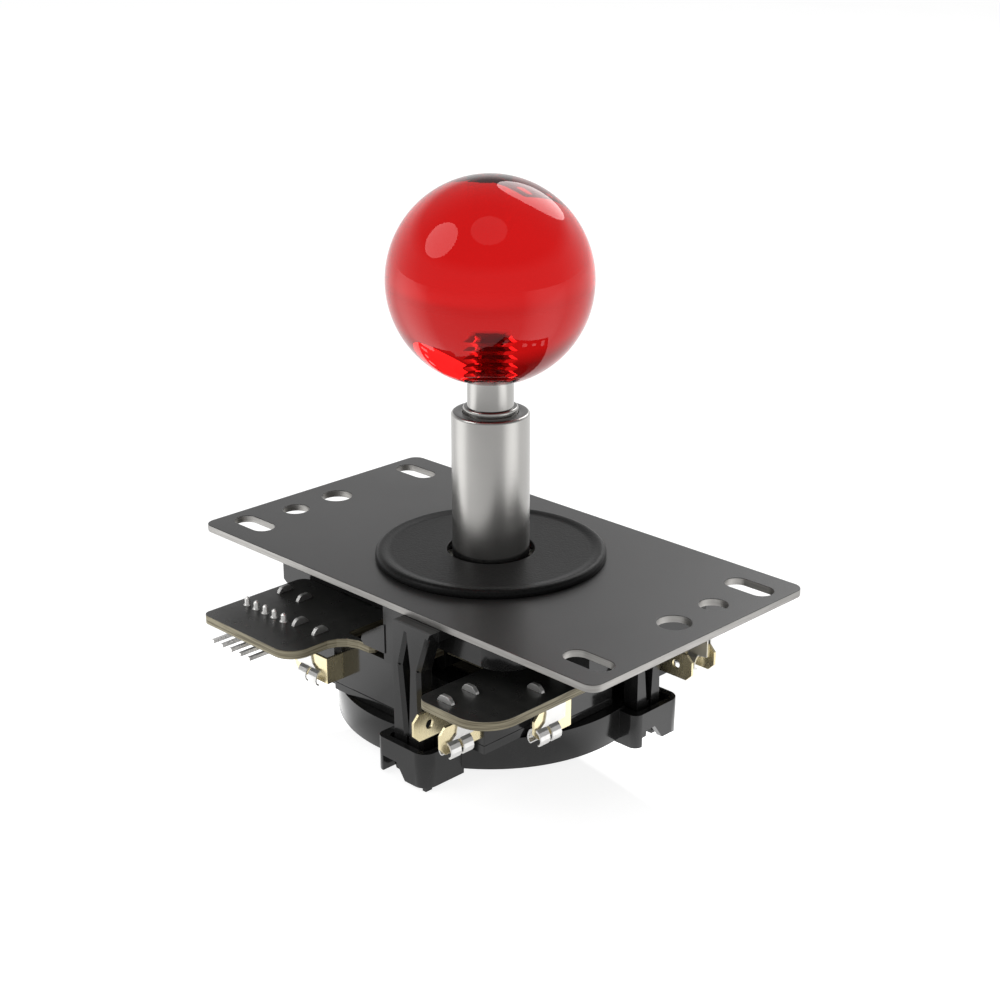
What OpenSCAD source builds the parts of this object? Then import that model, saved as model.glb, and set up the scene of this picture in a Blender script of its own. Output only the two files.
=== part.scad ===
// Ball-top lever joystick: red ball, steel shaft and cover, steel mounting
// plate, moulded housing, four snap switches and a clip-on restrictor gate.
// Millimetres. Origin on the shaft axis at the plate's top face, +Z up,
// +X along the plate's long side.

/* [Mounting plate] */
// Length of the steel plate
plate_l = 96; // [94:0.5:100]
// Width of the steel plate
plate_w = 53; // [52:0.5:56]
// Sheet thickness of the plate
plate_t = 1.3; // [1.2:0.05:1.4]
// Corner radius of the plate
plate_corner_r = 2.2; // [1:0.1:4]
// End-to-end length of a fixing slot
slot_len = 9.2; // [7:0.1:9.6]
// Width of a fixing slot
slot_w = 4.3; // [4:0.1:5]
// Distance of a slot's centre from the plate's end
slot_end = 6.85; // [6.2:0.05:7.2]
// Distance of a slot's centre from the plate's long side
slot_side = 6.5; // [6:0.1:7.2]
// Radius of the two large round holes
hole_big_r = 2.85; // [2.5:0.05:3.2]
// Radius of the two small round holes
hole_small_r = 2.45; // [2:0.05:2.6]
// Distance of a round hole's centre from the plate's end
hole_end = 6.5; // [5.8:0.05:7]
// Offset of the small holes across the plate
hole_small_y = 10; // [9.5:0.1:11]
// Radius of the central opening
plate_hole_r = 10; // [9.9:0.05:10.4]
// Distance of the plate screws from the axis, along X and Y
screw_xy = 10.8; // [10.4:0.1:11.2]

/* [Housing] */
// Length of the deck under the plate
deck_l = 54.6; // [54.6:0.1:55.4]
// Width of the deck
deck_w = 48; // [47.6:0.1:48.4]
// Corner radius of the deck
deck_r = 5.5; // [4.5:0.1:6]
// Length over the two wings
wing_l = 73; // [71:0.5:74]
// Width of a wing
wing_w = 29.2; // [28.8:0.1:29.4]
// Thickness of the deck
deck_t = 1.8; // [1.6:0.1:2]
// Lower edge of the deck's outer walls
wall_z = -6.3; // [-7:0.1:-6]
// Inner face of the clip pillars
pillar_in = 26; // [26:0.05:26.2]
// Thickness of a clip pillar
pillar_t = 3; // [2.6:0.1:3.1]
// Chamfer along the pillars' edges
pillar_cut = 0.6; // [0.3:0.05:0.8]

/* [Ball and shaft] */
// Ball radius
ball_r = 17.5; // [16:0.25:18.5]
// Height of the ball's centre
ball_z = 48.85; // [48:0.05:50]
// Radius of the threaded stud inside the ball
stud_r = 3; // [2.9:0.05:3.1]
// Radius of the bare neck under the ball
neck_r = 4; // [3.8:0.1:4.4]
// Radius of the shaft inside the cover
shaft_r = 4.75; // [4.6:0.05:4.8]
// Outer radius of the shaft cover
cover_r = 6.75; // [6.5:0.05:6.8]
// Top of the shaft cover
cover_top = 26.2; // [24:0.1:28]
// Radius of the shaft below the pivot
tail_r = 3; // [2.8:0.05:3.1]
// Lowest point of the shaft
tail_z = -25.5; // [-25.7:0.05:-25.2]

/* [Dust washer] */
// Outer radius of the washer
washer_r = 20.2; // [19.5:0.1:21]
// Radius of the washer's hole
washer_hole_r = 7.65; // [7.6:0.05:8]
// Thickness of the flat part
washer_t = 1.2; // [1:0.05:1.25]

/* [Pivot] */
// Height of the pivot centre
pivot_z = -2.6; // [-2.7:0.05:-2.55]
// Radius of the pivot ball
pivot_r = 8.3; // [8.2:0.05:8.35]
// Wall thickness of the bearing ring
ring_t = 1.25; // [1.1:0.05:1.3]
// Radial clearance of the two spherical fits
pivot_gap = 0.05; // [0.03:0.01:0.08]

/* [Circuit board] */
// Height of the board's top face
board_top = -10.1; // [-10.2:0.05:-10.05]
// Board thickness
board_t = 1.6; // [1.5:0.05:1.6]
// Pitch of the header pins
pin_pitch = 2.54; // [2.5:0.01:2.6]
// Side of a square header pin
pin_w = 0.64; // [0.6:0.01:0.7]

/* [Switches] */
// Distance of the switch's inner face from the axis
switch_in = 9.6; // [9.58:0.01:9.65]
// Depth of a switch's main body, away from the axis
switch_d = 15.9; // [15.6:0.05:16]
// Overall length of a switch case
switch_l = 27.9; // [27.6:0.05:28]
// Height of a switch case
switch_h = 10.05; // [9.9:0.05:10.1]
// Distance of the plunger's tip from the axis
plunger_tip = 7.9; // [7.85:0.01:7.95]
// Width of a blade terminal
blade_w = 4.8; // [4.6:0.05:4.9]
// Thickness of a blade terminal
blade_t = 0.5; // [0.45:0.01:0.55]
// Sheet thickness of a contact clip
clip_t = 0.3; // [0.25:0.01:0.35]

/* [Spring and actuator] */
// Outer radius of the coil spring
spring_r = 5.5; // [5.4:0.05:5.6]
// Wire thickness of the spring
spring_wire = 0.9; // [0.8:0.05:1]
// Outer radius of the actuator cup
actuator_r = 7.6; // [7.5:0.01:7.62]

/* [Gate] */
// Outer radius of the gate's skirt
gate_r = 27.5; // [27.2:0.05:27.6]
// Top of the gate
gate_top = -21.85; // [-21.9:0.01:-21.85]
// Bottom of the gate's skirt
gate_bottom = -27.5; // [-28:0.1:-27.3]
// Distance of an ear's outer face from the axis
ear_out = 31; // [30.8:0.05:31.4]
// Lowest point of the ears' feet
foot_z = -29.2; // [-29.5:0.05:-29]
// Half side of the square restrictor hole
square_half = 6.15; // [6.1:0.05:6.4]

/* [Hidden] */

slot_x = plate_l / 2 - slot_end;
slot_y = plate_w / 2 - slot_side;
hole_x = plate_l / 2 - hole_end;
pillar_out = pillar_in + pillar_t;
deck_z = -plate_t - deck_t;
long_wall_y = wing_w / 2;
pillar_root = 1.4 - deck_w / 2;
board_bot = board_top - board_t;
switch_top = board_bot - 0.05;
switch_bot = switch_top - switch_h;
blade_z = -16.5;
switch_out = switch_in + switch_d;
switch_x1 = 3.8;
switch_x0 = switch_x1 - switch_l;
step_x = -13.1;
step_y = -22.5;
com_y = -28.9;
no_y = -21.75;
nc_y = -15.6;
blade_tip = -33.3;
com_tip = -19.3;
com_root = -10.6;
clip_com_x = -15.65;
clip_no_x = -28.6;
pin_row_x = -31.3;
pin_row_y = -29.8;
pin_tip_y = -37.78;
pin_low = -14.95;
ring_out = pivot_r + pivot_gap + ring_t;
seat_r = ring_out + pivot_gap;
neck_top = ball_z - 16.8;
cup_floor = -16.8;
cup_bot = -18;
clip_groove = -18.15;
e = 0.01;

module sheet(x0, x1, y0, y1, z0, z1) {
  translate([x0, y0, z0]) cube([x1 - x0, y1 - y0, z1 - z0]);
}

module round_rect(l, w, r) {
  union() {
    square([l - 2 * r, w], center = true);
    square([l, w - 2 * r], center = true);
    for (i = [-1, 1], j = [-1, 1])
      translate([i * (l / 2 - r), j * (w / 2 - r)]) circle(r = r, $fn = 48);
  }
}

// A rectangle with its own radius at each corner, from front left round
module lobe(x0, x1, y0, y1, a, b, c, d) {
  union() {
    polygon([[x0 + a, y0], [x1 - b, y0], [x1, y0 + b], [x1, y1 - c],
             [x1 - c, y1], [x0 + d, y1], [x0, y1 - d], [x0, y0 + a]]);
    translate([x0 + a, y0 + a]) circle(r = a, $fn = 48);
    translate([x1 - b, y0 + b]) circle(r = b, $fn = 48);
    translate([x1 - c, y1 - c]) circle(r = c, $fn = 48);
    translate([x0 + d, y1 - d]) circle(r = d, $fn = 48);
  }
}

// ---- lever ----
module ball_top() {
  color([0.8, 0.08, 0.1]) difference() {
    translate([0, 0, ball_z]) sphere(r = ball_r, $fn = 120);
    translate([0, 0, ball_z - 30]) cylinder(r = 10, h = 30 - (ball_z - neck_top), $fn = 64);
    translate([0, 0, neck_top - 1]) cylinder(r = stud_r + 0.03, h = 12.4, $fn = 48);
  }
}

module shaft() {
  color([0.75, 0.75, 0.74]) difference() {
    union() {
      translate([0, 0, neck_top - e]) cylinder(r = stud_r, h = 10.2, $fn = 48);
      translate([0, 0, neck_top + 10.19]) cylinder(r1 = stud_r, r2 = 2.2, h = 0.8, $fn = 48);
      translate([0, 0, 27.2]) cylinder(r = neck_r, h = neck_top - 27.2, $fn = 64);
      translate([0, 0, 26.9]) cylinder(r1 = shaft_r, r2 = shaft_r - 0.3, h = 0.3, $fn = 64);
      translate([0, 0, pivot_z]) cylinder(r = shaft_r, h = 26.9 - pivot_z, $fn = 64);
      translate([0, 0, tail_z + 1]) cylinder(r = tail_r, h = pivot_z - tail_z - 1 + e, $fn = 64);
      translate([0, 0, tail_z]) cylinder(r1 = tail_r - 1, r2 = tail_r, h = 1 + e, $fn = 64);
    }
    translate([0, 0, clip_groove - 0.8]) difference() {
      cylinder(r = tail_r + 1, h = 0.8, $fn = 48);
      translate([0, 0, -e]) cylinder(r = 2.3, h = 0.8 + 2 * e, $fn = 48);
    }
  }
}

module shaft_cover() {
  color([0.72, 0.72, 0.7]) rotate_extrude($fn = 96)
    polygon([[shaft_r + 0.05, pivot_z + 1], [cover_r, pivot_z + 1], [cover_r, cover_top - 0.5],
             [cover_r - 0.15, cover_top - 0.15], [cover_r - 0.5, cover_top],
             [shaft_r + 0.05, cover_top]]);
}

module dust_washer() {
  color([0.06, 0.06, 0.06]) rotate_extrude($fn = 120) union() {
    polygon([[washer_hole_r, 0], [washer_r - 0.3, 0], [washer_r, 0.3], [washer_r, 1],
             [washer_r - 0.25, 1.35], [washer_r - 0.75, 1.5], [washer_r - 1.3, 1.4],
             [washer_r - 1.8, washer_t], [washer_hole_r + 0.2, washer_t],
             [washer_hole_r, washer_t - 0.2]]);
  }
}

// ---- plate ----
module mounting_plate() {
  color([0.35, 0.35, 0.35]) difference() {
    translate([0, 0, -plate_t]) linear_extrude(plate_t)
      round_rect(plate_l, plate_w, plate_corner_r);
    translate([0, 0, -2]) cylinder(r = plate_hole_r, h = 3, $fn = 96);
    for (i = [-1, 1], j = [-1, 1]) translate([i * slot_x, j * slot_y, -2])
      linear_extrude(3) union() {
        square([slot_len - slot_w, slot_w], center = true);
        for (s = [-1, 1]) translate([s * (slot_len - slot_w) / 2, 0])
          circle(r = slot_w / 2, $fn = 48);
      }
    for (i = [-1, 1]) translate([i * hole_x, 0, -2]) cylinder(r = hole_big_r, h = 3, $fn = 64);
    for (i = [-1, 1]) translate([i * hole_x, i * hole_small_y, -2])
      cylinder(r = hole_small_r, h = 3, $fn = 64);
    for (i = [-1, 1], j = [-1, 1]) translate([i * screw_xy, j * screw_xy, 0]) {
      translate([0, 0, -2]) cylinder(r = 1.6, h = 3, $fn = 48);
      translate([0, 0, -plate_t]) cylinder(r1 = 1.6, r2 = 2.9, h = plate_t + e, $fn = 48);
    }
  }
}

module plate_screws() {
  color([0.6, 0.6, 0.58]) for (i = [-1, 1], j = [-1, 1])
    translate([i * screw_xy, j * screw_xy, 0]) difference() {
      union() {
        translate([0, 0, -plate_t - e]) cylinder(r1 = 1.5, r2 = 2.8, h = plate_t - 0.04, $fn = 48);
        translate([0, 0, -8]) cylinder(r = 1.45, h = 8 - plate_t, $fn = 48);
      }
      for (a = [0, 90]) rotate(a) sheet(-1.5, 1.5, -0.3, 0.3, -0.9, 1);
    }
}

// ---- housing ----
// A prism that cuts one long edge of a pillar, from one point of its outline to the next
module edge_cut(x0, z0, x1, z1) {
  run = sqrt((x1 - x0) * (x1 - x0) + (z1 - z0) * (z1 - z0));
  translate([x0, -pillar_out, z0]) rotate([0, atan2(x1 - x0, z1 - z0), 0])
    translate([0, 0, -0.02]) linear_extrude(run + 0.04)
      polygon([[-pillar_cut - 0.05, -0.05], [0.1, -0.05], [0.1, pillar_cut + 0.1]]);
}

module pillar() {
  difference() {
    translate([0, -pillar_in, 0]) rotate([90, 0, 0]) linear_extrude(pillar_t) polygon([
      [6.3, -1.35], [15.2, -1.35], [14.7, -2.4], [12.4, -9], [12.8, -26.7], [13.7, -26.7],
      [12.6, -28.4], [10.3, -28.4], [9.9, -21.5], [10.5, -9], [9.7, -2.6], [8, -9],
      [9.3, -21.5], [8.9, -28.4], [6.6, -28.4], [5.7, -26.7], [6.3, -26.7]]);
    edge_cut(8, -9, 9.7, -2.6);
    edge_cut(9.3, -21.5, 8, -9);
    edge_cut(12.4, -9, 14.7, -2.4);
    edge_cut(12.8, -26.7, 12.4, -9);
  }
}

// What the deck and its outer walls leave free for the header side of the board
module header_side() {
  polygon([[-40, -40], [-40, -long_wall_y], [-10.7, -long_wall_y], [0.8, -pillar_in],
           [0.8, -40]]);
}

module deck_outline(t) {
  round_rect(deck_l - 2 * t, deck_w - 2 * t, deck_r - t * 0.9);
  square([wing_l - 2 * t, wing_w - 2 * t], center = true);
}

module housing() {
  color([0.09, 0.09, 0.09]) difference() {
    union() {
      // deck
      translate([0, 0, deck_z]) linear_extrude(deck_t) difference() {
        union() deck_outline(0);
        header_side();
      }
      // outer walls of the deck
      translate([0, 0, wall_z]) linear_extrude(-plate_t - wall_z) difference() {
        union() deck_outline(0);
        deck_outline(1.6);
        header_side();
      }
      // long wall behind the header lobe, slanting wall and front wall
      translate([0, 1.8 - long_wall_y, 0]) rotate([90, 0, 0]) linear_extrude(1.8)
        polygon([[-40.2, -plate_t], [-40.2, -12.3], [-39.3, -12.9], [-23, -12.9], [-23, -9.9],
                 [-10.7, -9.9], [-10.7, -plate_t]]);
      translate([0, 0, -9.9]) linear_extrude(9.9 - plate_t)
        polygon([[-10.7, -long_wall_y], [0.8, -pillar_in], [2.6, -pillar_in],
                 [-10.7, 1.8 - long_wall_y]]);
      sheet(0.8, 6.4, -pillar_in - 0.1, 1.6 - pillar_in, board_bot + 0.05, -plate_t);
      // foot of the front wall, standing on the board's front strip
      translate([0, 1.2 - pillar_in, 0]) rotate([90, 0, 0]) linear_extrude(1.5)
        polygon([[1.2, -4.9], [0.7, -5], [-4.4, -8.2], [-4.8, -9.3], [-4.1, board_top + 0.04],
                 [1.2, board_top + 0.04]]);
      sheet(6.3, 15.2, -pillar_in - 1, pillar_root, deck_z, -plate_t);
      // tube that holds the bearing ring
      translate([0, 0, -10]) cylinder(r = 12.4, h = 10 - plate_t, $fn = 96);
      // screw bosses
      for (i = [-1, 1], j = [-1, 1]) translate([i * screw_xy, j * screw_xy, -9.5])
        cylinder(r = 3.4, h = 9.5 - plate_t, $fn = 48);
      // clip pillars and the posts between the switches
      for (k = [0:3]) rotate(k * 90) {
        pillar();
        sheet(6.3, 12.4, -pillar_in - 0.2, pillar_root, deck_z, -plate_t);
        sheet(4.2, 6, -17, -13, -21.6, -2);
      }
    }
    translate([0, 0, pivot_z]) sphere(r = seat_r, $fn = 96);
    translate([0, 0, pivot_z]) cylinder(r = seat_r, h = 3, $fn = 96);
    translate([0, 0, -11]) cylinder(r = 7.2, h = 5, $fn = 64);
    for (i = [-1, 1], j = [-1, 1]) translate([i * screw_xy, j * screw_xy, -8.5])
      cylinder(r = 1.5, h = 8, $fn = 32);
  }
}

// ---- pivot ----
module bearing_ring() {
  color([0.85, 0.85, 0.82]) difference() {
    translate([0, 0, pivot_z]) sphere(r = ring_out, $fn = 96);
    translate([0, 0, pivot_z]) sphere(r = pivot_r + pivot_gap, $fn = 96);
    translate([0, 0, -1.6]) cylinder(r = 20, h = 20, $fn = 32);
    translate([0, 0, -28.2]) cylinder(r = 20, h = 20, $fn = 32);
    translate([0, 0, pivot_z]) cylinder(r = pivot_r + pivot_gap, h = 10, $fn = 96);
  }
}

module pivot_ball() {
  color([0.9, 0.9, 0.86]) difference() {
    translate([0, 0, pivot_z]) sphere(r = pivot_r, $fn = 96);
    translate([0, 0, pivot_z + 1]) cylinder(r = 20, h = 20, $fn = 32);
    translate([0, 0, -29.2]) cylinder(r = 20, h = 20, $fn = 32);
    translate([0, 0, pivot_z]) cylinder(r = shaft_r + 0.01, h = 10, $fn = 64);
    translate([0, 0, -20]) cylinder(r = tail_r + 0.01, h = 20, $fn = 64);
  }
}

module spring_collar() {
  color([0.9, 0.9, 0.88]) difference() {
    translate([0, 0, -11.2]) cylinder(r = 8.2, h = 1.18, $fn = 64);
    translate([0, 0, -12]) cylinder(r = 4.8, h = 3, $fn = 64);
  }
}

module spring() {
  turns = 3.5;
  zt = -11.22 - spring_wire / 2;
  zb = cup_floor + 0.02 + spring_wire / 2;
  n = 56;
  color([0.7, 0.7, 0.7]) union() {
    for (i = [0:n - 1]) hull() {
      for (q = [i, i + 1])
        rotate(q * 360 * turns / n) translate([spring_r - spring_wire / 2, 0, zb + (zt - zb) * q / n])
          rotate([90, 0, 0]) cylinder(r = spring_wire / 2, h = 0.02, center = true, $fn = 8);
    }
  }
}

module actuator() {
  color([0.12, 0.12, 0.12]) difference() {
    union() {
      translate([0, 0, cup_bot]) cylinder(r = actuator_r, h = -13.6 - cup_bot, $fn = 96);
    }
    translate([0, 0, cup_floor]) cylinder(r = 6.1, h = 10, $fn = 64);
    translate([0, 0, -20]) cylinder(r = tail_r + 0.01, h = 10, $fn = 64);
  }
}

module e_clip() {
  color([0.6, 0.6, 0.6]) translate([0, 0, clip_groove - 0.78]) linear_extrude(0.76) difference() {
    circle(r = 5, $fn = 64);
    circle(r = 2.32, $fn = 48);
    polygon([[-1.8, 0], [1.8, 0], [2.6, -6], [-2.6, -6]]);
    for (a = [60, 120]) rotate(a) translate([3, 0]) circle(r = 0.9, $fn = 24);
  }
}

// ---- circuit board ----
module board_outline() {
  difference() {
    union() {
      round_rect(44, 44, 3);
      lobe(-33.9, -9.7, -37.8, -14.7, 1.5, 4, 2, 2);
      polygon([[-14, -31], [-9.7, -29.6], [-9.1, -28], [-7.9, -26.7], [-6, -25.9], [-3.4, -25.75],
               [-2.7, -25], [-2.6, -20], [-14, -20]]);
      for (k = [1:3]) rotate((k - 1) * 90) lobe(16.8, 32.5, -33.6, -8.6, 2, 6.5, 2, 1);
    }
    circle(r = 10.6, $fn = 96);
    // cut-out beside the header lobe
    polygon([[-9.2, -25.1], [-4.2, -25.1], [-4.2, -15.9], [-9.7, -15.9], [-9.7, -24.6]]);
    polygon([[-2.6, -30], [0.7, -30], [0.7, -16.6], [-2.6, -16.6]]);
    // room for the front wall, clip pillars and posts
    polygon([[0.6, -30], [0.6, -24.2], [6, -24.2], [6, -16.6], [16.8, -16.6], [16.8, -30]]);
    for (k = [0:3]) rotate(k * 90) {
      polygon([[5.9, -30], [5.9, -25.4], [13.2, -25.4], [13.2, -30]]);
      polygon([[4, -17.3], [4, -12.8], [6.2, -12.8], [6.2, -17.3]]);
    }
    for (k = [0:3]) rotate(k * 90) tail_holes();
    for (i = [0:4]) translate([pin_row_x + i * pin_pitch, pin_row_y]) circle(r = 0.5, $fn = 24);
  }
}

module tail_holes() {
  for (c = [[clip_com_x, com_y + 0.45], [clip_no_x, no_y + 0.45]], s = [-1, 1])
    translate([c[0] + s * 2.68, c[1]]) square([0.66, 2.5], center = true);
}

module circuit_board() {
  color([0.05, 0.06, 0.05]) translate([0, 0, board_bot]) linear_extrude(board_t) board_outline();
}

module header_base() {
  color([0.05, 0.05, 0.05]) difference() {
    sheet(pin_row_x - 1.3, pin_row_x + 4 * pin_pitch + 1.24, pin_row_y - 1.3, pin_row_y + 1.3,
          pin_low + 0.75, board_bot - 0.02);
    for (i = [0:4]) translate([pin_row_x + i * pin_pitch, pin_row_y, -20])
      linear_extrude(12) square(pin_w + 0.02, center = true);
  }
}

module header_pins() {
  color([0.85, 0.85, 0.85]) for (i = [0:4]) translate([pin_row_x + i * pin_pitch, pin_row_y, 0]) union() {
    sheet(-pin_w / 2, pin_w / 2, -pin_w / 2, pin_w / 2, pin_low, board_top + 1.1);
    sheet(-pin_w / 2, pin_w / 2, pin_tip_y - pin_row_y, pin_w / 2, pin_low, pin_low + pin_w);
    translate([0, 0, board_top + 0.01]) cylinder(r1 = 0.75, r2 = 0.5, h = 0.35, $fn = 24);
    translate([0, 0, board_top + 0.35]) cylinder(r = 0.5, h = 0.85, $fn = 24);
    translate([0, 0, board_top + 1.19]) cylinder(r1 = 0.5, r2 = 0.22, h = 0.3, $fn = 24);
  }
}

// ---- one switch, drawn at the -Y side, plunger towards the axis ----
module blade(x0, x1, yc) {
  translate([0, yc + blade_t / 2, blade_z]) rotate([90, 0, 0]) linear_extrude(blade_t)
    difference() {
      polygon([[x0, -blade_w / 2 + 1.2], [x0 + 1.2, -blade_w / 2], [x1, -blade_w / 2],
               [x1, blade_w / 2], [x0 + 1.2, blade_w / 2], [x0, blade_w / 2 - 1.2]]);
      translate([x0 + 3.45, 0]) circle(r = 0.8, $fn = 32);
    }
}

module terminal_com() {
  union() {
    blade(com_tip, com_root, com_y);
    sheet(com_root - blade_t, com_root, com_y - blade_t / 2, -switch_out + 2,
          blade_z - blade_w / 2, blade_z + blade_w / 2);
  }
}

module terminal_no() {
  blade(blade_tip, switch_x0 + 3, no_y);
}

module terminal_nc() {
  blade(blade_tip, switch_x0 + 3, nc_y);
}

module switch_case() {
  difference() {
    translate([0, 0, switch_bot + 1.5]) linear_extrude(switch_h - 1.5)
      polygon([[switch_x0, step_y], [step_x, step_y], [step_x, -switch_out],
               [switch_x1, -switch_out], [switch_x1, -switch_in], [switch_x0, -switch_in]]);
    // plunger guide
    sheet(-1.25, 1.25, -14.6, -switch_in + 1, blade_z - 1.25, blade_z + 1.25);
    // terminal slots
    sheet(com_root - blade_t, com_root, -switch_out - 1, -switch_out + 2,
          blade_z - blade_w / 2, blade_z + blade_w / 2);
    for (y = [no_y, nc_y]) sheet(switch_x0 - 1, switch_x0 + 3, y - blade_t / 2,
      y + blade_t / 2, blade_z - blade_w / 2, blade_z + blade_w / 2);
    // two through holes
    for (c = [[-9.4, -22.3], [0.8, -12.6]]) translate([c[0], c[1], -30])
      cylinder(r = 1.6, h = 25, $fn = 48);
  }
}

module switch_cover() {
  difference() {
    translate([0, 0, switch_bot]) linear_extrude(1.48)
      polygon([[switch_x0, step_y], [step_x, step_y], [step_x, -switch_out],
               [switch_x1, -switch_out], [switch_x1, -switch_in], [switch_x0, -switch_in]]);
    for (c = [[-9.4, -22.3], [0.8, -12.6]]) translate([c[0], c[1], -30])
      cylinder(r = 1.6, h = 25, $fn = 48);
  }
}

module plunger() {
  union() {
    sheet(-1.2, 1.2, -12.3, -plunger_tip - 0.5, blade_z - 1.2, blade_z + 1.2);
    translate([0, -plunger_tip - 0.5, blade_z]) rotate([90, 0, 0])
      translate([0, 0, -0.5]) linear_extrude(0.51) square([1.8, 2.4], center = true);
  }
}

// The clip's two leaves straddle a blade and end in two curled fingers each;
// its end flaps go through the board, where they are soldered
module clip(xc, yc, m) {
  translate([xc, yc, 0]) rotate(90 - 90 * m) union() {
    for (s = [-1, 1]) {
      y0 = s > 0 ? 0.27 : -0.57;
      translate([0, y0 + clip_t, 0]) rotate([90, 0, 0]) linear_extrude(clip_t)
        polygon([[-3.1, board_bot - 0.05], [-3.1, -12.6], [-1.3, -13], [-1.15, -14.5],
                 [-1.5, -16], [-2.4, -16.7], [-3.45, -16.85], [1.6, -16.85], [3.4, -16.6],
                 [3.4, board_bot - 0.05]]);
      for (x = [-3.45, -0.7]) translate([x, 0, 0]) rotate([90, 0, 90]) linear_extrude(2.2)
        polygon([[s * 0.27, -16.7], [s * 0.57, -16.7], [s * 1.1, -17.1], [s * 1.45, -17.7],
                 [s * 1.6, -18.4], [s * 1.5, -19], [s * 1.15, -19.45], [s * 0.8, -19.5],
                 [s * 0.75, -19.25], [s * 1.05, -19.15], [s * 1.25, -18.8], [s * 1.3, -18.4],
                 [s * 1.15, -17.85], [s * 0.85, -17.4], [s * 0.27, -17.1]]);
    }
    sheet(-3.1, 3.4, -0.57, 0.57, board_bot - 0.35, board_bot - 0.05);
    for (t = [-1, 1]) translate([t * 2.68, m * 0.45, 0]) {
      sheet(-0.3, 0.3, -1.2, 1.2, board_bot - 0.2, board_top + 0.1);
      translate([-0.36, 0, board_top + 0.02]) rotate([90, 0, 90]) linear_extrude(0.72)
        polygon([[-1.7, 0], [1.7, 0], [1.55, 0.35], [0.95, 1], [0.6, 1.15], [-0.6, 1.15],
                 [-0.95, 1], [-1.55, 0.35]]);
    }
  }
}

// ---- gate ----
module ear() {
  translate([0, 0, -28.5]) linear_extrude(6.2) difference() {
    lobe(3.8, 15.7, -ear_out, -22, 1.6, 2.4, 0.2, 0.2);
    circle(r = gate_r - 1, $fn = 120);
  }
  translate([14.25, 0.8 - ear_out, foot_z]) cube([0.8, 1.4, 1]);
}

module ear_pocket() {
  // open pocket above the ledge
  translate([0, 0, -25.4]) linear_extrude(6)
    lobe(5.4, 14.4, 1.2 - ear_out, 0.3 - pillar_in, 1, 1, 0.2, 0.2);
  // room for the pillar's two legs and, below the ledge, their barbs
  sheet(6.1, 13, -pillar_out - 0.4, 0.4 - pillar_in, -30, -20);
  sheet(5.5, 14.2, -pillar_out - 0.8, 0.3 - pillar_in, -30, -26.65);
  // notch in the outer wall
  translate([0, 0.5 - pillar_out, 0]) rotate([90, 0, 0]) linear_extrude(10)
    polygon([[5.5, -30], [5.5, -25.7], [8.8, -25.7], [10.8, -28.5], [10.8, -30]]);
}

module restrictor_gate() {
  color([0.08, 0.08, 0.08]) difference() {
    union() {
      difference() {
        translate([0, 0, gate_bottom]) cylinder(r = gate_r, h = gate_top - gate_bottom, $fn = 144);
        translate([0, 0, gate_bottom - 1])
          cylinder(r = gate_r - 1.8, h = gate_top - gate_bottom - 1, $fn = 96);
      }
      translate([0, 0, gate_bottom]) cylinder(r = 15, h = gate_top - gate_bottom, $fn = 96);
      for (a = [0:45:315]) rotate(a)
        sheet(14, gate_r - 1, -0.7, 0.7, gate_bottom + 0.5, gate_top - 1);
      for (k = [0:3]) rotate(k * 90) ear();
    }
    for (k = [0:3]) rotate(k * 90) ear_pocket();
    translate([0, 0, -25.4]) cylinder(r = 13, h = 10, $fn = 96);
    translate([0, 0, -30]) cylinder(r = 11.8, h = 10, $fn = 96);
  }
}

module gate_plate() {
  color([0.1, 0.1, 0.1]) translate([0, 0, -25.38]) linear_extrude(2.4) difference() {
    circle(r = 12.92, $fn = 96);
    round_rect(2 * square_half, 2 * square_half, 0.8);
  }
}

ball_top();
shaft();
shaft_cover();
dust_washer();
mounting_plate();
plate_screws();
housing();
bearing_ring();
pivot_ball();
spring_collar();
spring();
actuator();
e_clip();
circuit_board();
header_base();
header_pins();
restrictor_gate();
gate_plate();

module switch_case_a() {
  color([0.07, 0.07, 0.07]) rotate(0) switch_case();
}

module switch_cover_a() {
  color([0.06, 0.06, 0.06]) rotate(0) switch_cover();
}

module plunger_a() {
  color([0.75, 0.1, 0.1]) rotate(0) plunger();
}

module terminal_com_a() {
  color([0.85, 0.75, 0.45]) rotate(0) terminal_com();
}

module terminal_no_a() {
  color([0.85, 0.75, 0.45]) rotate(0) terminal_no();
}

module terminal_nc_a() {
  color([0.85, 0.75, 0.45]) rotate(0) terminal_nc();
}

module clip_com_a() {
  color([0.85, 0.85, 0.85]) rotate(0) clip(clip_com_x, com_y, -1);
}

module clip_no_a() {
  color([0.85, 0.85, 0.85]) rotate(0) clip(clip_no_x, no_y, -1);
}

module switch_case_b() {
  color([0.07, 0.07, 0.07]) rotate(90) switch_case();
}

module switch_cover_b() {
  color([0.06, 0.06, 0.06]) rotate(90) switch_cover();
}

module plunger_b() {
  color([0.75, 0.1, 0.1]) rotate(90) plunger();
}

module terminal_com_b() {
  color([0.85, 0.75, 0.45]) rotate(90) terminal_com();
}

module terminal_no_b() {
  color([0.85, 0.75, 0.45]) rotate(90) terminal_no();
}

module terminal_nc_b() {
  color([0.85, 0.75, 0.45]) rotate(90) terminal_nc();
}

module clip_com_b() {
  color([0.85, 0.85, 0.85]) rotate(90) clip(clip_com_x, com_y, 1);
}

module clip_no_b() {
  color([0.85, 0.85, 0.85]) rotate(90) clip(clip_no_x, no_y, 1);
}

module switch_case_c() {
  color([0.07, 0.07, 0.07]) rotate(180) switch_case();
}

module switch_cover_c() {
  color([0.06, 0.06, 0.06]) rotate(180) switch_cover();
}

module plunger_c() {
  color([0.75, 0.1, 0.1]) rotate(180) plunger();
}

module terminal_com_c() {
  color([0.85, 0.75, 0.45]) rotate(180) terminal_com();
}

module terminal_no_c() {
  color([0.85, 0.75, 0.45]) rotate(180) terminal_no();
}

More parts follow.
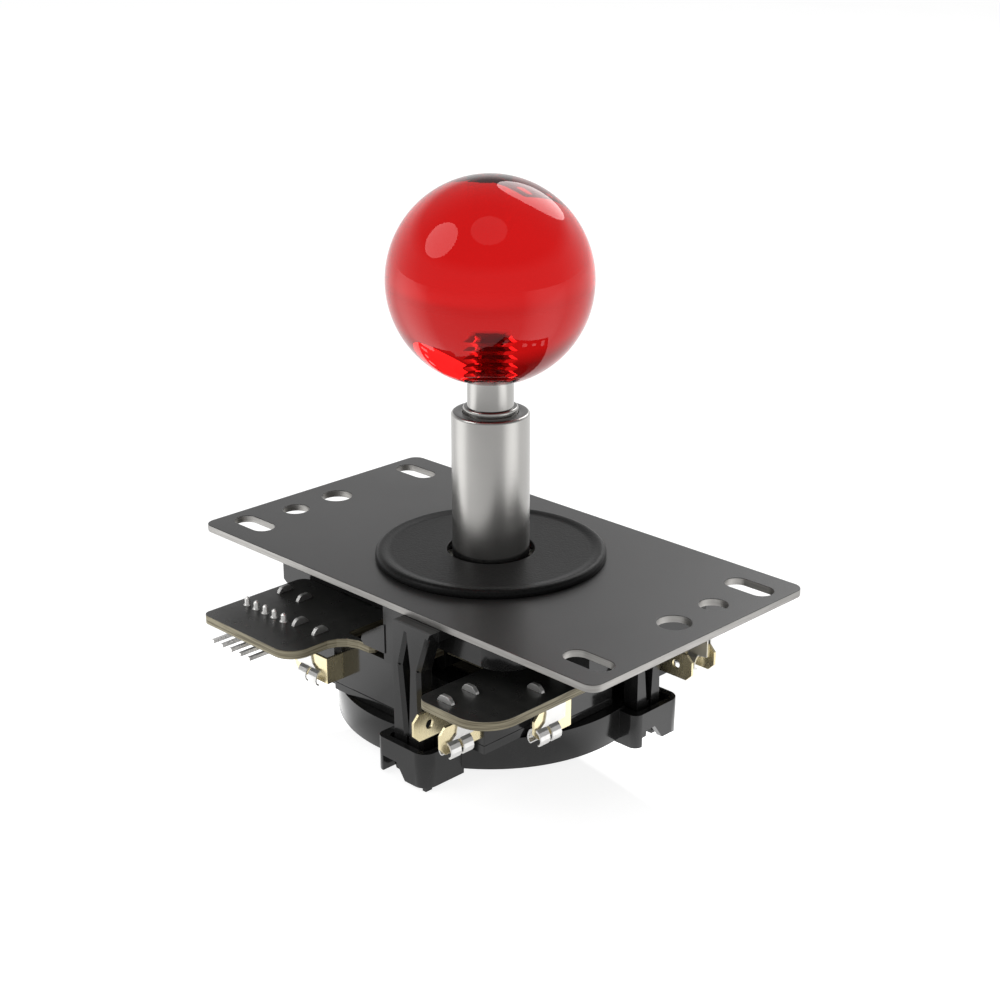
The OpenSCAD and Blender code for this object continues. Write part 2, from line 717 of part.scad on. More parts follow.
module terminal_nc_c() {
  color([0.85, 0.75, 0.45]) rotate(180) terminal_nc();
}

module clip_com_c() {
  color([0.85, 0.85, 0.85]) rotate(180) clip(clip_com_x, com_y, -1);
}

module clip_no_c() {
  color([0.85, 0.85, 0.85]) rotate(180) clip(clip_no_x, no_y, -1);
}

module switch_case_d() {
  color([0.07, 0.07, 0.07]) rotate(270) switch_case();
}

module switch_cover_d() {
  color([0.06, 0.06, 0.06]) rotate(270) switch_cover();
}

module plunger_d() {
  color([0.75, 0.1, 0.1]) rotate(270) plunger();
}

module terminal_com_d() {
  color([0.85, 0.75, 0.45]) rotate(270) terminal_com();
}

module terminal_no_d() {
  color([0.85, 0.75, 0.45]) rotate(270) terminal_no();
}

module terminal_nc_d() {
  color([0.85, 0.75, 0.45]) rotate(270) terminal_nc();
}

module clip_com_d() {
  color([0.85, 0.85, 0.85]) rotate(270) clip(clip_com_x, com_y, 1);
}

module clip_no_d() {
  color([0.85, 0.85, 0.85]) rotate(270) clip(clip_no_x, no_y, 1);
}
switch_case_a();
switch_cover_a();
plunger_a();
terminal_com_a();
terminal_no_a();
terminal_nc_a();
clip_com_a();
clip_no_a();
switch_case_b();
switch_cover_b();
plunger_b();
terminal_com_b();
terminal_no_b();
terminal_nc_b();
clip_com_b();
clip_no_b();
switch_case_c();
switch_cover_c();
plunger_c();
terminal_com_c();
terminal_no_c();
terminal_nc_c();
clip_com_c();
clip_no_c();
switch_case_d();
switch_cover_d();
plunger_d();
terminal_com_d();
terminal_no_d();
terminal_nc_d();
clip_com_d();
clip_no_d();
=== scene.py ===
# Ball-top lever joystick for a control panel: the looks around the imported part.
import math

import bmesh
import bpy
from mathutils import Matrix, Vector


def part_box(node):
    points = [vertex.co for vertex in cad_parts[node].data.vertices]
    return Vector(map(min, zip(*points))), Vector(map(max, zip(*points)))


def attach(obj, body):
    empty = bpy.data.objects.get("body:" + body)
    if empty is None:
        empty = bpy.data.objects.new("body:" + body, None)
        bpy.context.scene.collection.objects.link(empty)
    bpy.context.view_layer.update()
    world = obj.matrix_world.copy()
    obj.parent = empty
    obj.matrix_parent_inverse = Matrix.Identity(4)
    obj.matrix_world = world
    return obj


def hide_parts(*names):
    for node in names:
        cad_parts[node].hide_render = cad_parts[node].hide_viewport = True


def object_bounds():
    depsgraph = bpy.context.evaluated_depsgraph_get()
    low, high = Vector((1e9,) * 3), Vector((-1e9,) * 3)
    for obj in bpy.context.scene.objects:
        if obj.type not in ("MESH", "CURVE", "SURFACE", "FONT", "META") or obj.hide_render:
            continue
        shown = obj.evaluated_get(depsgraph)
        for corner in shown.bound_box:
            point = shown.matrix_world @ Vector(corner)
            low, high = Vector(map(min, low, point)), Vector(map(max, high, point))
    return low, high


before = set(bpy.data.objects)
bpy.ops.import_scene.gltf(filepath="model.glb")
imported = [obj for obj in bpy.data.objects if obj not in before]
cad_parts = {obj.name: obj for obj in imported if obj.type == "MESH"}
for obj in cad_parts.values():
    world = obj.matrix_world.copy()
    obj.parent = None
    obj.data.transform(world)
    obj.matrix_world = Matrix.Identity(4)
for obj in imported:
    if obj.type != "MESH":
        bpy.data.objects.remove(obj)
cad_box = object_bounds()
mm = 0.001

# Camera
# It stands where the photographer's did, in front of the plate's corner and a
# hand's width above the ball, with a longish lens.
camera_place = Vector((207.03, -206.06, 119.11)) * mm
camera_azimuth = math.radians(44.8225)
camera_elevation = math.radians(20.4813)
camera_roll = math.radians(-0.064)
lens_mm, film_width_mm = 64.835, 36

back = Vector((math.sin(camera_azimuth) * math.cos(camera_elevation),
               -math.cos(camera_azimuth) * math.cos(camera_elevation),
               math.sin(camera_elevation)))
right = Vector((math.cos(camera_azimuth), math.sin(camera_azimuth), 0))
turn = Matrix((right, back.cross(right), back)).transposed().to_4x4()
camera_data = bpy.data.cameras.new("photo_camera")
camera_data.lens = lens_mm
camera_data.sensor_width = film_width_mm
camera_data.clip_start = 10 * mm
camera = bpy.data.objects.new("photo_camera", camera_data)
camera.matrix_world = (Matrix.Translation(camera_place) @ turn
                       @ Matrix.Rotation(camera_roll, 4, "Z"))
bpy.context.scene.collection.objects.link(camera)
bpy.context.scene.camera = camera

# Studio
# A white table that the joystick's feet stand on. It glows by itself though it is no
# lamp: a painted glow, dimmer in front and brighter towards two sides, which the
# shaft mirrors. Behind it is a pale backdrop, in front a dimmer room, and soft lamps
# show as glints on the ball.
floor_z = cad_box[0].z
floor_size = 16.0
table_dark, table_light = 0.33, 0.35
table_glow, front_glow, side_glow = 0.86, 0.52, 0.9
front_start, front_end = 100 * mm, 200 * mm
glow_sides = (math.radians(17), math.radians(-140))
# How near to a side's direction its glow starts and is full, as cosines.
side_start, side_full = 0.89, 0.997
# The room's levels, and the cosines from the camera's and the upward direction
# between which one passes into the next.
backdrop_level, room_level, ceiling_share = 1.0, 0.6, 0.4
backdrop_end, room_start = -0.6, 0.15
wall_end, ceiling_start = 0.3, 0.5


def shader(name, **constants):
    """A new material's tree and its surface shader, with plain values set on its sockets."""
    material = bpy.data.materials.new(name)
    material.use_nodes = True
    surface = material.node_tree.nodes["Principled BSDF"]
    for socket, value in constants.items():
        surface.inputs[socket.replace("_", " ")].default_value = value
    return material, material.node_tree, surface


def link(tree, start, end):
    """Joins one socket to another."""
    tree.links.new(start, end)


def pattern(tree, scale, detail, stretch=(1, 1, 1)):
    """Noise in the part's own frame; scale is in bumps a millimetre, detail in finer layers."""
    bumps_a_metre, fine_share = scale * 1000, 0.55
    where = tree.nodes.new("ShaderNodeTexCoord")
    stretched = tree.nodes.new("ShaderNodeMapping")
    stretched.inputs["Scale"].default_value = [s * bumps_a_metre for s in stretch]
    noise = tree.nodes.new("ShaderNodeTexNoise")
    noise.inputs["Scale"].default_value = 1.0
    noise.inputs["Detail"].default_value = detail
    noise.inputs["Roughness"].default_value = fine_share
    link(tree, where.outputs["Object"], stretched.inputs["Vector"])
    link(tree, stretched.outputs["Vector"], noise.inputs["Vector"])
    return noise.outputs["Fac"]


def spread(tree, value, low, high, start=0.3, end=0.7):
    """Takes a pattern to a range of values."""
    ranged = tree.nodes.new("ShaderNodeMapRange")
    ranged.inputs["From Min"].default_value = start
    ranged.inputs["From Max"].default_value = end
    ranged.inputs["To Min"].default_value = low
    ranged.inputs["To Max"].default_value = high
    link(tree, value, ranged.inputs["Value"])
    return ranged.outputs["Result"]


def grey(level):
    """A neutral tone."""
    return (level, level, level)


def tones(tree, value, dark, light, start=0.35, end=0.65):
    """Takes a pattern to a colour between two tones."""
    ramp = tree.nodes.new("ShaderNodeValToRGB")
    ramp.color_ramp.elements[0].position = start
    ramp.color_ramp.elements[1].position = end
    ramp.color_ramp.elements[0].color = (*dark, 1)
    ramp.color_ramp.elements[1].color = (*light, 1)
    link(tree, value, ramp.inputs["Fac"])
    return ramp.outputs["Color"]


def grain(tree, surface, value, depth_mm, strength):
    """Raises and sinks the surface a little by a pattern."""
    bump = tree.nodes.new("ShaderNodeBump")
    bump.inputs["Strength"].default_value = strength
    bump.inputs["Distance"].default_value = depth_mm * mm
    link(tree, value, bump.inputs["Height"])
    link(tree, bump.outputs["Normal"], surface.inputs["Normal"])


def along(tree, output, axis, unit=True):
    """How far a place or direction lies along an axis, as a share of its length if unit."""
    if unit:
        shortened = tree.nodes.new("ShaderNodeVectorMath")
        shortened.operation = "NORMALIZE"
        link(tree, output, shortened.inputs[0])
        output = shortened.outputs["Vector"]
    reach = tree.nodes.new("ShaderNodeVectorMath")
    reach.operation = "DOT_PRODUCT"
    reach.inputs[1].default_value = axis
    link(tree, output, reach.inputs[0])
    return reach.outputs["Value"]


def combined(tree, operation, first, second):
    """The sum or product of two values."""
    sum_or_product = tree.nodes.new("ShaderNodeMath")
    sum_or_product.operation = operation
    link(tree, first, sum_or_product.inputs[0])
    link(tree, second, sum_or_product.inputs[1])
    return sum_or_product.outputs[0]


# The table's emission below is painted light: a glow dimmer in front and brighter towards two
# sides.
glowing_table, tree, surface = shader("glowing_table", Roughness=0.9, Specular_IOR_Level=0.0,
                                  Emission_Color=(1, 1, 1, 1))
link(tree, tones(tree, pattern(tree, scale=0.02, detail=2.0), grey(table_dark), grey(table_light)),
     surface.inputs["Base Color"])
place = tree.nodes.new("ShaderNodeTexCoord").outputs["Object"]
front = Vector((back.x, back.y, 0)).normalized()
glow = spread(tree, along(tree, place, front, unit=False), table_glow, front_glow,
              front_start, front_end)
for side in glow_sides:
    toward = along(tree, place, (math.cos(side), math.sin(side), 0))
    glow = combined(tree, "ADD", glow, spread(tree, toward, 0.0, side_glow, side_start, side_full))
link(tree, glow, surface.inputs["Emission Strength"])
floor_mesh = bpy.data.meshes.new("floor")
half = floor_size / 2
floor_mesh.from_pydata([(-half, -half, 0), (half, -half, 0), (half, half, 0), (-half, half, 0)],
                       [], [(0, 1, 2, 3)])
floor = bpy.data.objects.new("floor", floor_mesh)
floor.location.z = floor_z
floor_mesh.materials.append(glowing_table)
bpy.context.scene.collection.objects.link(floor)


def softbox(name, azimuth, elevation, distance, width, radiance, aim):
    """A round lamp that faces aim; azimuth runs anticlockwise from the camera's side."""
    lamp = bpy.data.lights.new(name, "AREA")
    lamp.shape = "ELLIPSE"
    lamp.size = width
    lamp.size_y = width
    lamp.energy = radiance * math.pi * math.pi / 4 * width ** 2
    around = camera_azimuth - math.pi / 2 + math.radians(azimuth)
    rise = math.radians(elevation)
    holder = bpy.data.objects.new(name, lamp)
    holder.location = aim + distance * Vector((math.cos(around) * math.cos(rise),
                                               math.sin(around) * math.cos(rise),
                                               math.sin(rise)))
    holder.rotation_euler = (aim - holder.location).to_track_quat("-Z", "Y").to_euler()
    bpy.context.scene.collection.objects.link(holder)


ball_low, ball_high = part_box("ball_top")
ball_r = (ball_high.x - ball_low.x) / 2
ball_centre = Vector((0, 0, ball_high.z - ball_r))
softbox("left_softbox", azimuth=-76.6, elevation=41.2, distance=1.0, width=0.62,
        radiance=3.2, aim=ball_centre)
softbox("back_softbox", azimuth=150, elevation=38.2, distance=1.0, width=0.72,
        radiance=3.3, aim=ball_centre)
softbox("overhead_lamp", azimuth=-2, elevation=67.7, distance=1.3, width=0.8,
        radiance=0.7, aim=ball_centre)

sky = bpy.data.worlds.new("studio_air")
sky.use_nodes = True
tree = sky.node_tree
direction = tree.nodes.new("ShaderNodeTexCoord").outputs["Generated"]
tree.nodes["Background"].inputs["Color"].default_value = (1, 1, 1, 1)
walls = spread(tree, along(tree, direction, back), backdrop_level, room_level,
               backdrop_end, room_start)
upward = spread(tree, along(tree, direction, (0, 0, 1)), 1.0, ceiling_share,
                wall_end, ceiling_start)
link(tree, combined(tree, "MULTIPLY", walls, upward),
     tree.nodes["Background"].inputs["Strength"])
bpy.context.scene.world = sky
bpy.context.scene.view_settings.view_transform = "Standard"

# Mounting plate
# A flat steel plate, cut with its slots and holes and then coated dark grey.
# The cut edges and the walls of the holes are bare metal.
plate_low, plate_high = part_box("mounting_plate")
plate_corner = 2.2 * mm
plate_edge = 0.12 * mm
slot_length, slot_width = 9.2 * mm, 4.3 * mm
slot_span_x, slot_span_y = 82.3 * mm, 40 * mm
hole_x = 83 * mm / 2
small_hole_y = 10 * mm
large_hole_r, small_hole_r, shaft_hole_r = 2.85 * mm, 2.45 * mm, 10 * mm
screw_span, screw_hole_r = 21.6 * mm, 2.9 * mm
four_ways = [(x, y) for x in (-1, 1) for y in (-1, 1)]
slot_places = [(x * slot_span_x / 2, y * slot_span_y / 2) for x, y in four_ways]
round_holes = [(-hole_x, 0, large_hole_r), (hole_x, 0, large_hole_r),
               (-hole_x, -small_hole_y, small_hole_r), (hole_x, small_hole_y, small_hole_r),
               (0, 0, shaft_hole_r)]
round_holes += [(x * screw_span / 2, y * screw_span / 2, screw_hole_r) for x, y in four_ways]
coat_dark, coat_light = (0.014, 0.0137, 0.0133), (0.026, 0.0255, 0.025)
coat_smooth, coat_rough = 0.28, 0.33
steel_dark, steel_light, steel_rough = (0.29, 0.282, 0.27), (0.36, 0.352, 0.338), 0.45
# How far the coat reaches over the plate's broken edge.
coat_reach = 0.6 * plate_edge


def arc(cx, cy, radius, start, end, steps):
    """Points along an arc, in degrees from start to end."""
    return [(cx + radius * math.cos(math.radians(start + (end - start) * i / steps)),
             cy + radius * math.sin(math.radians(start + (end - start) * i / steps)))
            for i in range(steps + 1)]


def ring(cx, cy, radius, steps=64):
    """Points around a full circle."""
    return arc(cx, cy, radius, 0, 360, steps)[:-1]


def rounded(x0, x1, y0, y1, front_left, front_right, back_right, back_left, steps=10):
    """A rectangle with a radius of its own at each corner."""
    return (arc(x0 + front_left, y0 + front_left, front_left, 180, 270, steps)
            + arc(x1 - front_right, y0 + front_right, front_right, 270, 360, steps)
            + arc(x1 - back_right, y1 - back_right, back_right, 0, 90, steps)
            + arc(x0 + back_left, y1 - back_left, back_left, 90, 180, steps))


def slot_outline(cx, cy, length, width):
    """A slot along X with round ends."""
    end_steps = 20
    reach = (length - width) / 2
    return (arc(cx + reach, cy, width / 2, -90, 90, end_steps)
            + arc(cx - reach, cy, width / 2, 90, 270, end_steps))


def sheet_mesh(name, outlines, low, high, edge):
    """A flat piece cut along outlines in X and Y, with its sharp edges just broken."""
    edge_steps = 2
    cut = bpy.data.curves.new(name, "CURVE")
    cut.dimensions = "2D"
    cut.fill_mode = "BOTH"
    cut.extrude = (high - low) / 2 - edge
    cut.bevel_depth = edge
    cut.bevel_resolution = edge_steps
    cut.offset = -edge
    for outline in outlines:
        spline = cut.splines.new("POLY")
        spline.points.add(len(outline) - 1)
        for point, (x, y) in zip(spline.points, outline):
            point.co = (x, y, 0, 1)
        spline.use_cyclic_u = True
    drawn = bpy.data.objects.new(name, cut)
    bpy.context.scene.collection.objects.link(drawn)
    bpy.context.view_layer.update()
    mesh = bpy.data.meshes.new_from_object(drawn.evaluated_get(
        bpy.context.evaluated_depsgraph_get()))
    bpy.data.objects.remove(drawn)
    mesh.transform(Matrix.Translation((0, 0, (low + high) / 2)))
    return mesh


def finished(name, mesh, material, body, node, smooth):
    """Puts a made mesh in the scene as a piece that stands for its CAD node.

    Edges that turn by more than smooth degrees stay sharp.
    """
    weld_reach, least_length = 1e-6, 1e-7
    work = bmesh.new()
    work.from_mesh(mesh)
    bmesh.ops.remove_doubles(work, verts=work.verts, dist=weld_reach)
    bmesh.ops.dissolve_degenerate(work, edges=work.edges, dist=least_length)
    bmesh.ops.recalc_face_normals(work, faces=work.faces)
    work.to_mesh(mesh)
    work.free()
    mesh.shade_smooth()
    mesh.set_sharp_from_angle(angle=math.radians(smooth))
    mesh.materials.clear()
    mesh.materials.append(material)
    piece = bpy.data.objects.new(name, mesh)
    bpy.context.scene.collection.objects.link(piece)
    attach(piece, body)
    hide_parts(node)


def height_in(tree, low, high):
    """1 between two heights in the part's frame and 0 elsewhere."""
    where = tree.nodes.new("ShaderNodeTexCoord")
    parts = tree.nodes.new("ShaderNodeSeparateXYZ")
    above = tree.nodes.new("ShaderNodeMath")
    below = tree.nodes.new("ShaderNodeMath")
    both = tree.nodes.new("ShaderNodeMath")
    above.operation, below.operation, both.operation = "GREATER_THAN", "LESS_THAN", "MULTIPLY"
    above.inputs[1].default_value = low
    below.inputs[1].default_value = high
    link(tree, where.outputs["Object"], parts.inputs[0])
    link(tree, parts.outputs["Z"], above.inputs[0])
    link(tree, parts.outputs["Z"], below.inputs[0])
    link(tree, above.outputs[0], both.inputs[0])
    link(tree, below.outputs[0], both.inputs[1])
    return both.outputs[0]


def blend_colours(tree, factor, first, second):
    """The first colour where factor is 0 and the second where it is 1."""
    mixer = tree.nodes.new("ShaderNodeMix")
    mixer.data_type = "RGBA"
    link(tree, factor, mixer.inputs["Factor"])
    link(tree, first, mixer.inputs["A"])
    link(tree, second, mixer.inputs["B"])
    return mixer.outputs["Result"]


def blend_values(tree, factor, first, second):
    """The first value where factor is 0 and the second where it is 1."""
    mixer = tree.nodes.new("ShaderNodeMix")
    mixer.data_type = "FLOAT"
    link(tree, factor, mixer.inputs["Factor"])
    for value, socket in ((first, "A"), (second, "B")):
        if isinstance(value, (int, float)):
            mixer.inputs[socket].default_value = value
        else:
            link(tree, value, mixer.inputs[socket])
    return mixer.outputs["Result"]


coated_steel, tree, surface = shader("coated_steel", Specular_IOR_Level=0.42)
bare = height_in(tree, plate_low.z + coat_reach, plate_high.z - coat_reach)
cloud = pattern(tree, scale=0.05, detail=3.0)
speckle = pattern(tree, scale=4.5, detail=2.0)
coat = tones(tree, speckle, coat_dark, coat_light)
steel = tones(tree, pattern(tree, scale=1.2, detail=3.0, stretch=(0.2, 0.2, 4)),
              steel_dark, steel_light)
link(tree, blend_colours(tree, bare, coat, steel), surface.inputs["Base Color"])
link(tree, blend_values(tree, bare, spread(tree, cloud, coat_smooth, coat_rough), steel_rough),
     surface.inputs["Roughness"])
link(tree, blend_values(tree, bare, 0.0, 1.0), surface.inputs["Metallic"])
grain(tree, surface, speckle, depth_mm=0.012, strength=0.7)

plate_outlines = [rounded(plate_low.x, plate_high.x, plate_low.y, plate_high.y,
                          *[plate_corner] * 4)]
plate_outlines += [slot_outline(x, y, slot_length, slot_width) for x, y in slot_places]
plate_outlines += [ring(x, y, r) for x, y, r in round_holes]
finished("mounting_plate_sheet",
         sheet_mesh("mounting_plate_sheet", plate_outlines, plate_low.z, plate_high.z, plate_edge),
         coated_steel, "base", "mounting_plate", smooth=12)

# Dust washer
# A thin round of black plastic with a raised bead at its rim. It lies loose on
# the plate and hides the four screws.
washer_low, washer_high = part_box("dust_washer")
washer_r = washer_high.x
washer_hole = 7.65 * mm
washer_thickness = 1.2 * mm
washer_flat = washer_low.z + washer_thickness
bead = washer_high.z - washer_flat
bead_width, bead_steps = 2.9 * mm, 10
rim_r = 0.95 * mm
foot_r, hole_edge_r = 0.3 * mm, 0.2 * mm
washer_dark, washer_light = grey(0.004), grey(0.010)
washer_smooth, washer_rough = 0.3, 0.4
# A point this far before a rounded edge keeps the shading of the flat beside it flat.
hold = 0.05 * mm


def spun_mesh(name, profile, steps, closed=True):
    """A mesh turned about the shaft's axis from a profile of radius and height."""
    on_axis = 1e-7
    mesh = bpy.data.meshes.new(name)
    corners, faces = [], []
    rows = []
    for radius, height in profile:
        if radius < on_axis:
            rows.append([len(corners)] * steps)
            corners.append((0, 0, height))
        else:
            rows.append(list(range(len(corners), len(corners) + steps)))
            corners += [(x, y, height) for x, y in ring(0, 0, radius, steps)]
    pairs = list(zip(rows, rows[1:])) + ([(rows[-1], rows[0])] if closed else [])
    for lower, upper in pairs:
        for i in range(steps):
            j = (i + 1) % steps
            around = [lower[i], lower[j], upper[j], upper[i]]
            face = [c for k, c in enumerate(around) if c not in around[:k]]
            if len(face) > 2:
                faces.append(face)
    mesh.from_pydata(corners, [], faces)
    return mesh


def rounding(r, z, radius, start, end, steps=6):
    """A rounded stretch of a turned profile."""
    return arc(r, z, radius, start, end, steps)


black_grained, tree, surface = shader("black_grained", Specular_IOR_Level=0.1)
fine = pattern(tree, scale=3.0, detail=2.0)
link(tree, tones(tree, fine, washer_dark, washer_light), surface.inputs["Base Color"])
link(tree, spread(tree, fine, washer_smooth, washer_rough), surface.inputs["Roughness"])
grain(tree, surface, fine, depth_mm=0.04, strength=1.0)

washer_profile = ([(washer_hole, washer_low.z), (washer_r - foot_r, washer_low.z)]
                  + rounding(washer_r - foot_r, washer_low.z + foot_r, foot_r, -90, 0)
                  + rounding(washer_r - rim_r, washer_high.z - rim_r, rim_r, 0, 90, steps=8)
                  + [(washer_r - rim_r - (bead_width - rim_r) * i / bead_steps,
                      washer_flat + bead * (1 + math.cos(math.pi * i / bead_steps)) / 2)
                     for i in range(1, bead_steps + 1)]
                  + [(washer_hole + hole_edge_r + hold, washer_flat)]
                  + rounding(washer_hole + hole_edge_r, washer_flat - hole_edge_r, hole_edge_r,
                             90, 180))
finished("dust_washer_round", spun_mesh("dust_washer_round", washer_profile, steps=160),
         black_grained, "base", "dust_washer", smooth=50)

# Shaft and cover
# A turned steel shaft, nickel plated, with a plain tube slipped over it. The
# stud's thread shows through the clear ball.
cover_low, cover_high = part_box("shaft_cover")
cover_r = cover_high.x
shaft_low, shaft_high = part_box("shaft")
shaft_r = shaft_high.x
cover_gap, cover_edge_r, cover_lip_r = 0.05 * mm, 0.5 * mm, 0.15 * mm
cover_inner = shaft_r + cover_gap
tail_r, tail_nose = 3 * mm, 1 * mm
groove_r, groove_low, groove_high = 2.3 * mm, -18.95 * mm, -18.15 * mm
pivot_z = -2.6 * mm
shoulder_top, shoulder_edge_r = 27.2 * mm, 0.35 * mm
neck_r, neck_top, neck_chamfer = 4 * mm, 32.05 * mm, 0.15 * mm
neck_foot_width, neck_foot_height = 0.02 * mm, 0.05 * mm
stud_r, stud_relief = 3 * mm, 0.3 * mm
thread_start = neck_top + 0.4 * mm
thread_pitch, thread_depth = 1.0 * mm, 0.55 * mm
nickel_dark, nickel_light = (0.40, 0.393, 0.379), (0.42, 0.412, 0.397)
# The dark tones below are painted shade: they darken the flat ring at the top of the cover and of
# the shoulder, for the dark gap around the neck.
end_shade_dark, end_shade_light, end_depth = (0.07, 0.069, 0.067), (0.09, 0.088, 0.085), 0.03 * mm


def nickel(name, rough_low, rough_high, end_z):
    """Satin plated steel with faint turning marks; a thin band at the end's height is painted much
    darker, as painted shade for the dark gap around the neck.
    """
    material, tree, surface = shader(name, Metallic=1.0)
    turned = pattern(tree, scale=0.8, detail=2.0, stretch=(0.05, 0.05, 6.0))
    soft = pattern(tree, scale=0.1, detail=2.0)
    side = tones(tree, soft, nickel_dark, nickel_light)
    face = tones(tree, soft, end_shade_dark, end_shade_light)
    # The band of painted shade at the end's height.
    end_shade_band = height_in(tree, end_z - end_depth, end_z + end_depth)
    link(tree, blend_colours(tree, end_shade_band, side, face), surface.inputs["Base Color"])
    link(tree, spread(tree, turned, rough_low, rough_high), surface.inputs["Roughness"])
    return material


satin_nickel = nickel("satin_nickel", rough_low=0.25, rough_high=0.27, end_z=cover_high.z)
bright_nickel = nickel("bright_nickel", rough_low=0.2, rough_high=0.22, end_z=shoulder_top)

cover_profile = ([(cover_inner, cover_low.z), (cover_r, cover_low.z)]
                 + rounding(cover_r - cover_edge_r, cover_high.z - cover_edge_r, cover_edge_r,
                            0, 90)
                 + rounding(cover_inner + cover_lip_r, cover_high.z - cover_lip_r, cover_lip_r,
                            90, 180, steps=3))
finished("shaft_cover_tube", spun_mesh("shaft_cover_tube", cover_profile, steps=128),
         satin_nickel, "stick", "shaft_cover", smooth=50)


def thread(crest_r, low, high):
    """The zigzag of a thread's flanks, going up: a root, a slope, a crest and a slope a turn."""
    turns = int((high - low) / thread_pitch)
    root_r = crest_r - thread_depth
    root_end, crest_start, crest_end = 0.12, 0.48, 0.6
    flank = []
    for i in range(turns):
        start = low + i * thread_pitch
        flank += [(root_r, start), (root_r, start + root_end * thread_pitch),
                  (crest_r, start + crest_start * thread_pitch),
                  (crest_r, start + crest_end * thread_pitch)]
    return flank + [(root_r, low + turns * thread_pitch)]


shaft_profile = [(0, shaft_low.z), (tail_r - tail_nose, shaft_low.z),
                 (tail_r - 0.3 * tail_nose, shaft_low.z + 0.5 * tail_nose),
                 (tail_r, shaft_low.z + tail_nose),
                 (tail_r, groove_low), (groove_r, groove_low), (groove_r, groove_high),
                 (tail_r, groove_high), (tail_r, pivot_z), (shaft_r, pivot_z),
                 (shaft_r, shoulder_top - shoulder_edge_r - hold)]
shaft_profile += rounding(shaft_r - shoulder_edge_r, shoulder_top - shoulder_edge_r,
                          shoulder_edge_r, 0, 90)
shaft_profile += [(neck_r + neck_foot_width, shoulder_top),
                  (neck_r, shoulder_top + neck_foot_height),
                  (neck_r, neck_top - neck_chamfer), (neck_r - neck_chamfer, neck_top),
                  (stud_r - stud_relief, neck_top)]
shaft_profile += thread(stud_r, thread_start, shaft_high.z)
shaft_profile += [(stud_r - thread_depth, shaft_high.z), (0, shaft_high.z)]
finished("shaft_turned", spun_mesh("shaft_turned", shaft_profile, steps=96, closed=False),
         bright_nickel, "stick", "shaft", smooth=35)

# Ball
# A ball of clear red acrylic, moulded and polished, screwed onto the shaft's
# stud. It is solid but for the threaded bore.
bore_gap = 0.03 * mm
bore_r = stud_r + bore_gap
bore_top, bore_tip, bore_mouth = 43.45 * mm, 0.3 * mm, 0.3 * mm
ball_flat_r = 4.9 * mm
red_dark, red_light = (0.55, 0.005, 0.005), (0.57, 0.006, 0.006)

clear_red, tree, surface = shader("clear_red_acrylic", Roughness=0.0, IOR=1.49,
                                  Transmission_Weight=1.0, Specular_Tint=(1, 0.45, 0.45, 1))
link(tree, tones(tree, pattern(tree, scale=0.05, detail=1.0), red_dark, red_light),
     surface.inputs["Base Color"])

flat_angle = math.degrees(math.asin(ball_flat_r / ball_r))
ball_profile = [(0, bore_top), (bore_r - thread_depth, bore_top - bore_tip)]
ball_profile += thread(bore_r, thread_start, bore_top - bore_tip)[::-1]
ball_profile += [(bore_r, neck_top + bore_mouth), (bore_r, neck_top)]
ball_profile += [(max(0.0, r), z) for r, z in
                 arc(0, ball_centre.z, ball_r, -90 + flat_angle, 90, steps=96)]
finished("ball_clear", spun_mesh("ball_clear", ball_profile, steps=192, closed=False),
         clear_red, "stick", "ball_top", smooth=60)

# Housing
# The deck under the plate, its ring of walls, the four clip pillars and the
# posts between the switches are one black injection moulding, lightly polished.


def worn_edges(tree, width_mm):
    """0 on flat faces and up to 1 along a sharp edge, by how far its rounded face leans."""
    lean_on_edge, lean_on_flat = 0.72, 0.99
    rounded_normal = tree.nodes.new("ShaderNodeBevel")
    rounded_normal.samples = 6
    rounded_normal.inputs["Radius"].default_value = width_mm * mm
    flat_normal = tree.nodes.new("ShaderNodeNewGeometry")
    lean = tree.nodes.new("ShaderNodeVectorMath")
    lean.operation = "DOT_PRODUCT"
    link(tree, rounded_normal.outputs["Normal"], lean.inputs[0])
    link(tree, flat_normal.outputs["Normal"], lean.inputs[1])
    return spread(tree, lean.outputs["Value"], 1.0, 0.0, lean_on_edge, lean_on_flat)


def moulding(name, dark, light, edge, rough_low, rough_high, bumps_mm, specular=0.4):
    """An opaque moulded plastic with a fine grain and slightly paler worn edges."""
    worn_width_mm, bump_strength = 0.12, 0.35
    material, tree, surface = shader(name, Specular_IOR_Level=specular)
    fine = pattern(tree, scale=2.5, detail=3.0)
    body_tone = tones(tree, pattern(tree, scale=0.3, detail=4.0), dark, light)
    edge_tone = tones(tree, fine, edge, edge)
    link(tree, blend_colours(tree, worn_edges(tree, worn_width_mm), body_tone, edge_tone),
         surface.inputs["Base Color"])
    link(tree, spread(tree, fine, rough_low, rough_high), surface.inputs["Roughness"])
    grain(tree, surface, fine, bumps_mm, bump_strength)
    return material


def dress(material, *names, edge_mm=0.1):
    """Gives kept CAD nodes their material and just breaks their sharp edges."""
    weld_reach, sharp_from = 0.001 * mm, math.radians(40)
    for name in names:
        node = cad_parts[name]
        for place in range(len(node.data.materials)):
            node.data.materials[place] = material
        if not node.data.materials:
            node.data.materials.append(material)
        joined = node.modifiers.new("joined", "WELD")
        joined.merge_threshold = weld_reach
        broken = node.modifiers.new("broken_edges", "BEVEL")
        broken.width = edge_mm * mm
        broken.segments = 2
        broken.limit_method = "ANGLE"
        broken.angle_limit = sharp_from


moulded_black = moulding("moulded_black", dark=grey(0.009), light=grey(0.013), edge=grey(0.035),
                         rough_low=0.14, rough_high=0.2, bumps_mm=0.002)
dress(moulded_black, "housing", edge_mm=0.12)

# Plate screws
# Four short steel machine screws through the plate into the housing's bosses,
# bright zinc plated, hidden by the washer.


